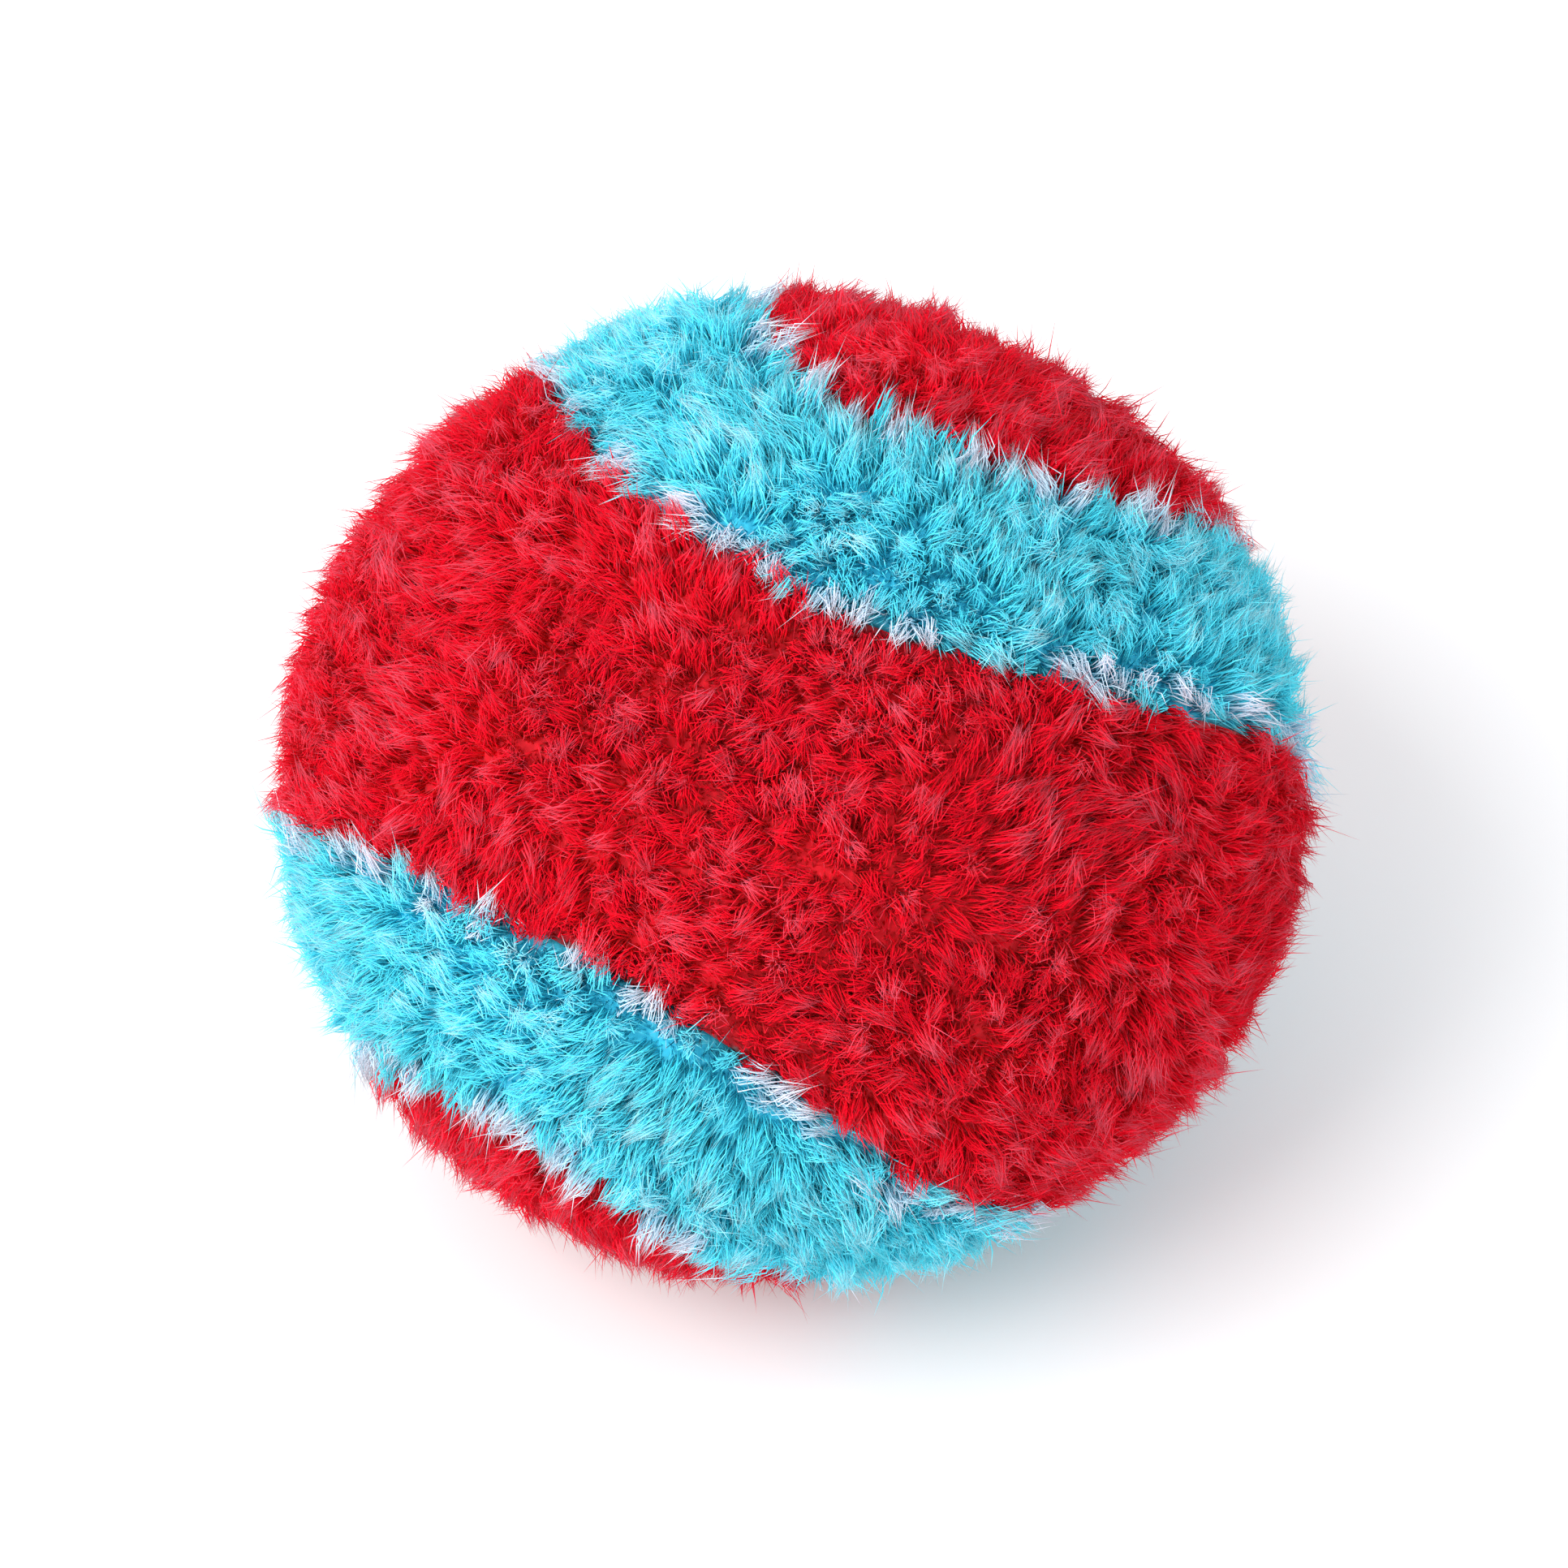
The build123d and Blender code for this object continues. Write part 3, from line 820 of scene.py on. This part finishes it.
@dataclass
class CoverCloth:
    """The backing cloth of the panels and the band, each with its edge turned in along the seam.

    Attributes:
        face_inset: From the ball's outline to the cloth's pile side, in metres.
        back_inset: From the outline to the cloth's inner side, in metres.
        allowance_end: From the outline to the free edge of the turned-in cloth, in metres.
        gap: Half the gap between two pieces at a seam, in metres.
        divisions: How often the ball's grid is divided.
        face_floor: Lowest height of the cloth's pile side, in metres.
        back_floor: Lowest height of its inner side, in metres.
    """

    form: BallForm
    seam: SeamPath
    face_inset: float = 2.8 * MM
    back_inset: float = 4.4 * MM
    allowance_end: float = 8.0 * MM
    gap: float = 0.15 * MM
    divisions: int = 6
    face_floor: float = 1.5 * MM
    back_floor: float = 2.3 * MM

    def ball_grid(self) -> tuple[np.ndarray, np.ndarray]:
        """Divide a ball into even triangles.

        Returns:
            Unit directions and the triangles between them.
        """
        grid = bmesh.new()
        bmesh.ops.create_icosphere(grid, subdivisions=self.divisions, radius=1.0)
        directions = np.array([vertex.co[:] for vertex in grid.verts])
        triangles = np.array([[vertex.index for vertex in face.verts] for face in grid.faces])
        grid.free()
        return unit(directions), triangles

    def snap_to_seams(self, directions: np.ndarray) -> tuple[np.ndarray, np.ndarray]:
        """Move the grid's nearest points onto the two seams.

        Args:
            directions: Unit rows.

        Returns:
            The moved directions, and 1, -1 or 0 for points on the front seam, the back seam
            or neither.
        """
        half = self.seam.half_width / self.form.equator
        spacing = 1.1 / 2 ** (self.divisions - 1)
        aside, _, outward = self.seam.locate(directions)
        to_seam = half - np.abs(aside)
        near = np.abs(to_seam) < 0.42 * spacing
        shift = np.where(near, to_seam * np.sign(aside), 0.0)
        moved = unit(directions + outward * shift[:, None])
        return moved, np.where(near, np.sign(aside), 0.0).astype(int)

    def build(self, zone: Zone, finish: bpy.types.Material, slot: str, name: str) -> bpy.types.Object:
        """Cut one cloth piece out of the ball's grid and give it its thickness and its turned-in edge.

        Args:
            zone: Which piece.
            finish: Its material.
            slot: Its material slot's name; not used.
            name: The piece's name.

        Returns:
            The new piece.
        """
        directions, triangles = self.ball_grid()
        directions, on_seam = self.snap_to_seams(directions)
        aside, _, outward = self.seam.locate(directions)
        half = self.seam.half_width / self.form.equator
        value = np.where(on_seam != 0, 0.0, np.abs(aside) - half)
        side = np.sign(aside)
        total = value[triangles].sum(axis=1)
        if zone is Zone.BAND:
            keep = total < 0
        else:
            keep = (total > 0) & (side[triangles[:, 0]] == zone.value)
        kept = triangles[keep]
        used = np.unique(kept)
        renumber = np.full(len(directions), -1)
        renumber[used] = np.arange(len(used))
        kept = renumber[kept]
        away = 1.0 if zone is not Zone.BAND else -1.0
        on_edge = self._edge_points(kept, len(used))
        back_shift = np.where(on_edge, away * side[used] * self.gap / self.form.equator, 0.0)
        rays = unit(directions[used] + outward[used] * back_shift[:, None])
        lumps = cover_lumps(self.form, rays)
        face = self.form.points(rays, self.face_inset - lumps)
        depth = np.where(on_edge, self.allowance_end, self.back_inset - lumps)
        back = self.form.points(rays, depth)
        face[:, 2] = np.maximum(face[:, 2], self.face_floor)
        back[:, 2] = np.maximum(back[:, 2], self.back_floor)
        vertices = np.concatenate([face, back])
        walls = self._walls(kept, len(used))
        faces = np.concatenate([kept, kept[:, ::-1] + len(used), walls])
        mesh = triangle_mesh(name, vertices, faces)
        return place_piece(name, mesh, finish)

    @staticmethod
    def _rim(triangles: np.ndarray) -> np.ndarray:
        """Find the directed edges that only one triangle uses."""
        edges = np.concatenate([triangles[:, [0, 1]], triangles[:, [1, 2]], triangles[:, [2, 0]]])
        _, first, counts = np.unique(np.sort(edges, axis=1), axis=0, return_index=True, return_counts=True)
        return edges[first[counts == 1]]

    def _edge_points(self, triangles: np.ndarray, count: int) -> np.ndarray:
        """Mark the points on the rim."""
        marked = np.zeros(count, dtype=bool)
        marked[self._rim(triangles).ravel()] = True
        return marked

    def _walls(self, triangles: np.ndarray, count: int) -> np.ndarray:
        """Close the rim between the cloth's two sides."""
        rim = self._rim(triangles)
        start, end = rim[:, 0], rim[:, 1]
        lower = np.stack([start, start + count, end], axis=1)
        upper = np.stack([end, start + count, end + count], axis=1)
        return np.concatenate([lower, upper])


@dataclass
class Filling:
    """The wadding between the cover and the pellet bag, and the bag's two cloth halves.

    Attributes:
        outer_inset: From the ball's outline to the wadding's outer side, in metres.
        channel_inset: From the outline to the wadding's outer side under the seams, in metres.
        channel: How far beside a seam the wadding keeps clear of it, in metres.
        bag_inset: From the outline to the bag's outer side, in metres.
        cloth: The bag cloth's thickness, in metres.
        hem: How far the bag's flat hem stands out, in metres.
        hem_room: Clear space above and below the hem in the wadding, in metres.
        pellet: A pellet's diameter, which the cloth bulges over, in metres.
        around: Points round each row of the bag.
        floor: Lowest height of the wadding, in metres.
    """

    form: BallForm
    seam: SeamPath
    outer_inset: float = 5.0 * MM
    channel_inset: float = 9.0 * MM
    channel: float = 2.6 * MM
    bag_inset: float = 11.8 * MM
    cloth: float = 0.6 * MM
    hem: float = 2.0 * MM
    hem_room: float = 1.6 * MM
    pellet: float = 4.5 * MM
    around: int = 180
    floor: float = 2.8 * MM

    def wadding(self, finish: bpy.types.Material) -> bpy.types.Object:
        """Card the wadding: a lumpy hollow ball with soft channels under the seams and round the hem.

        Args:
            finish: Its material.

        Returns:
            The new piece.
        """
        directions, triangles = CoverCloth(self.form, self.seam).ball_grid()
        aside, _, _ = self.seam.locate(directions)
        radius = self.form.equator
        beside = np.abs(np.abs(aside) - self.seam.half_width / radius)
        clear = 1 - smooth_step(beside, self.channel / radius, 2.2 * self.channel / radius)
        lumps = 0.6 * np.abs(Waves(60, 7 * MM, radius)(directions))
        lumps = lumps + 0.3 * np.abs(Waves(61, 2.5 * MM, radius)(directions))
        inset = self.outer_inset + (self.channel_inset - self.outer_inset) * clear + lumps * MM
        outer = self.form.points(directions, inset)
        outer[:, 2] = np.maximum(outer[:, 2], self.floor)
        inner_inset = np.full(len(directions), self.bag_inset - 0.2 * MM)
        inner = self.form.points(directions, inner_inset)
        level = np.abs(inner[:, 2] - self.form.centre[2])
        round_hem = 1 - smooth_step(level, self.hem_room, 2 * self.hem_room)
        inner = self.form.points(directions, inner_inset - (self.hem + 0.9 * MM) * round_hem)
        vertices = np.concatenate([outer, inner])
        faces = np.concatenate([triangles, triangles[:, ::-1] + len(directions)])
        mesh = triangle_mesh("carded_wadding", vertices, faces)
        piece = place_piece("carded_wadding", mesh, finish)
        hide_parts("wadding")
        return piece

    def bag_half(self, up: int, finish: bpy.types.Material) -> bpy.types.Object:
        """Sew one half of the bag: a cup that bulges over the pellets, gathered into a flat hem.

        Args:
            up: 1 for the top half, -1 for the bottom half.
            finish: Its material.

        Returns:
            The new piece.
        """
        rows = 60
        mouth = 1.2 / 180 * math.pi
        turns = np.linspace(0, math.tau, self.around, endpoint=False)
        rises = np.linspace(math.pi / 2, mouth, rows)
        rise, turn = np.meshgrid(rises, turns, indexing="ij")
        rays = np.stack(
            [np.cos(rise) * np.cos(turn), np.cos(rise) * np.sin(turn), up * np.sin(rise)], axis=2
        ).reshape(-1, 3)
        radius = self.form.equator - self.bag_inset
        bulge = np.abs(Waves(70, 2 * self.pellet, radius)(rays))
        pucker = np.sin(turn.ravel() * 44 + 2.0 * Waves(71, 9 * MM, radius)(rays))
        near_hem = 1 - smooth_step(rise.ravel(), 0.05, 0.7)
        sunk = 0.25 * MM * bulge + 0.12 * MM * near_hem * (1 + pucker)
        sunk = np.where(rise.ravel() > math.pi / 2 - 1e-6, 0.25 * MM * bulge[0], sunk)
        outer = self.form.points(rays, self.bag_inset + 0.05 * MM + sunk)
        inner = outer - self.form.normals(outer) * self.cloth * 0.8
        gap = 0.1 * MM
        ring = np.stack([np.cos(turns), np.sin(turns), np.zeros(self.around)], axis=1)
        reach = self.form.equator - self.bag_inset + self.hem * 0.98
        mouth_reach = self.form.equator - self.bag_inset - self.cloth * 0.8
        hem_out, hem_in = self.form.centre + ring * reach, self.form.centre + ring * mouth_reach
        near, far = up * gap, up * (gap + self.cloth * 0.9)
        lift = np.array([0.0, 0.0, 1.0])
        strips = [
            *outer.reshape(rows, self.around, 3),
            self.form.centre + ring * (self.form.equator - self.bag_inset + 0.1 * MM) + lift * far,
            hem_out + lift * far,
            hem_out + lift * near,
            hem_in + lift * near,
            *inner.reshape(rows, self.around, 3)[::-1],
        ]
        vertices = np.concatenate(strips)
        faces = self._lace(len(strips))
        if up < 0:
            faces = faces[:, ::-1]
        name = "bag_top_cloth" if up > 0 else "bag_bottom_cloth"
        mesh = triangle_mesh(name, vertices, faces)
        self._weld(mesh)
        piece = place_piece(name, mesh, finish)
        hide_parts("bag_top" if up > 0 else "bag_bottom")
        return piece

    def _lace(self, strips: int) -> np.ndarray:
        """Join rows of points round the axis into triangles."""
        row, place = np.meshgrid(np.arange(strips - 1), np.arange(self.around), indexing="ij")
        row, place = row.ravel(), place.ravel()
        after = (place + 1) % self.around
        near, near_after = row * self.around + place, row * self.around + after
        far, far_after = near + self.around, near_after + self.around
        lower = np.stack([near, far, near_after], axis=1)
        upper = np.stack([near_after, far, far_after], axis=1)
        return np.concatenate([lower, upper])

    @staticmethod
    def _weld(mesh: bpy.types.Mesh) -> None:
        """Merge the points that meet at the cup's pole."""
        shape = bmesh.new()
        shape.from_mesh(mesh)
        bmesh.ops.remove_doubles(shape, verts=shape.verts, dist=1e-6)
        bmesh.ops.dissolve_degenerate(shape, edges=shape.edges, dist=1e-7)
        shape.to_mesh(mesh)
        shape.free()


@dataclass
class Studio:
    """A plain pale floor, soft light from the upper left, and the camera.

    Attributes:
        elevation: The camera's angle above the floor, in degrees.
        distance: From the camera to the ball's centre, in metres.
        lens: Focal length, in millimetres, on a 36 mm sensor.
        aim: From the ball's centre to the point in the middle of the picture, in metres.
    """

    form: BallForm
    elevation: float = 50.0
    distance: float = 0.34
    lens: float = 127.0
    aim: tuple[float, float, float] = (-0.6 * MM, 0.0, -0.2 * MM)

    def build(self) -> None:
        """Lay the floor, hang the lights and stand the camera."""
        self._floor()
        self._light("softbox", (-0.55, -0.35, 0.75), 0.6, 7.5)
        self._light("fill", (0.5, -0.75, 0.6), 0.9, 1.5)
        world = bpy.data.worlds.new("studio_white")
        world.use_nodes = True
        world.node_tree.nodes["Background"].inputs["Color"].default_value = linear_colour("#fbfcff")
        world.node_tree.nodes["Background"].inputs["Strength"].default_value = 0.95
        bpy.context.scene.world = world
        bpy.context.scene.view_settings.view_transform = "Standard"
        self._camera()

    def _floor(self) -> None:
        """Lay a wide pale sheet under the ball."""
        bpy.ops.mesh.primitive_plane_add(size=12.0)
        floor = bpy.context.object
        floor.name = "pale_floor"
        board = NodeBoard("matt_white_board")
        shader = board.add("ShaderNodeBsdfPrincipled", Base_Color=linear_colour("#f6f6f6"), Roughness=0.9)
        board.add("ShaderNodeOutputMaterial", links={"Surface": shader.outputs["BSDF"]})
        floor.data.materials.append(board.material)

    def _light(self, name: str, place: tuple[float, float, float], size: float, power: float) -> None:
        """Hang one square soft light that faces the ball.

        Args:
            name: The light's name.
            place: Where it hangs, in metres.
            size: Its width, in metres.
            power: Its power, in watts.
        """
        light = bpy.data.lights.new(name, "AREA")
        light.size = size
        light.energy = power
        lamp = bpy.data.objects.new(name, light)
        lamp.location = place
        towards = Vector(self.form.centre) - Vector(place)
        lamp.rotation_euler = towards.to_track_quat("-Z", "Y").to_euler()
        bpy.context.scene.collection.objects.link(lamp)

    def _camera(self) -> None:
        """Stand the camera in front of the ball, looking down at it."""
        data = bpy.data.cameras.new("camera")
        data.lens = self.lens
        data.sensor_width = 36.0
        data.clip_start = 0.01
        camera = bpy.data.objects.new("camera", data)
        angle = math.radians(self.elevation)
        centre = Vector(self.form.centre) + Vector(self.aim)
        camera.location = centre + Vector((0, -math.cos(angle), math.sin(angle))) * self.distance
        camera.rotation_euler = (centre - camera.location).to_track_quat("-Z", "Y").to_euler()
        bpy.context.scene.collection.objects.link(camera)
        bpy.context.scene.camera = camera


def dress_node(node: str, material: bpy.types.Material) -> None:
    """Give a CAD piece that keeps its shape its finish.

    Args:
        node: The piece's name.
        material: Its finish.
    """
    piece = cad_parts[node]
    piece.data.materials.clear()
    piece.data.materials.append(material)
    LOG.info("%s: dressed in %s", node, material.name)


def main() -> None:
    """Build the ball's pieces in order and light the scene."""
    logging.basicConfig(level=logging.INFO, format="%(name)s %(message)s")
    form = BallForm()
    seam = SeamPath()
    Studio(form).build()
    # painted light: the red and blue backing cloths are painted brighter to lift the shade where they show
    # between the tufts; each second colour is painted shade between threads
    red_cloth = SpunCloth("knitted_polyester_red", "#e80a26", "#c8041c", 0.6 * MM).build()
    blue_cloth = SpunCloth("knitted_polyester_blue", "#40d0ee", "#2ab8d8", 0.6 * MM).build()
    cloth = CoverCloth(form, seam)
    front = cloth.build(Zone.FRONT, red_cloth, "red_pile_fabric", "front_panel_cloth")
    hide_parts("cover_panel_front")
    back = cloth.build(Zone.BACK, red_cloth, "red_pile_fabric", "back_panel_cloth")
    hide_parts("cover_panel_back")
    band = cloth.build(Zone.BAND, blue_cloth, "blue_pile_fabric", "band_cloth")
    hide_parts("cover_band")
    finishes = {
        # painted light: the red and blue root colours are painted brighter for light between the tufts, and
        # their tip colours paler as a painted highlight; the undyed tips are really white
        "red": PileYarn("brushed_microfibre_red", "#ff0a24", "#ec0a2a", "#e8647a").build(),
        "blue": PileYarn("brushed_microfibre_blue", "#48ecff", "#66eafc", "#c6f0fa").build(),
        "undyed": PileYarn("brushed_microfibre_undyed_tips", "#50d4f0", "#dceaf8", "#fbeefa").build(),
    }
    pile = CoverPile(form, seam).build(finishes)
    short = Pile(3, 0.4 * MM, 0.35 * MM, 0.17 * MM, 0.1, stations=(0.0,), widths=(1.0,))
    ground = CoverPile(form, seam, "ground", pitch=0.7 * MM, length=1.9 * MM, edge=0.0, pile=short)
    pile += ground.build(finishes)
    # painted shade: in each cloth and thread below, the second colour is painted shade for the hollows between
    # threads
    thread = SpunCloth("spun_polyester_thread", "#7c1020", "#3c0610", 0.25 * MM).build()
    machine_sewn = ("front_seam_thread", "back_seam_thread", "band_join_thread")
    for node in (*machine_sewn, "closing_ladder_thread", "closing_knot"):
        dress_node(node, thread)
    filling = Filling(form, seam)
    filling.wadding(CardedFibre().build())
    cotton = SpunCloth("plain_woven_cotton", "#e7e1cf", "#b8b09a", 0.5 * MM).build()
    for up in (1, -1):
        half = filling.bag_half(up, cotton)
    bag_thread = SpunCloth("spun_cotton_thread", "#f1ede0", "#bdb6a2", 0.25 * MM).build()
    for node in ("bag_seam_thread", "bag_closing_thread"):
        dress_node(node, bag_thread)
    dress_node("pellets", MouldedPellets().build())


if __name__ == "__main__":
    main()
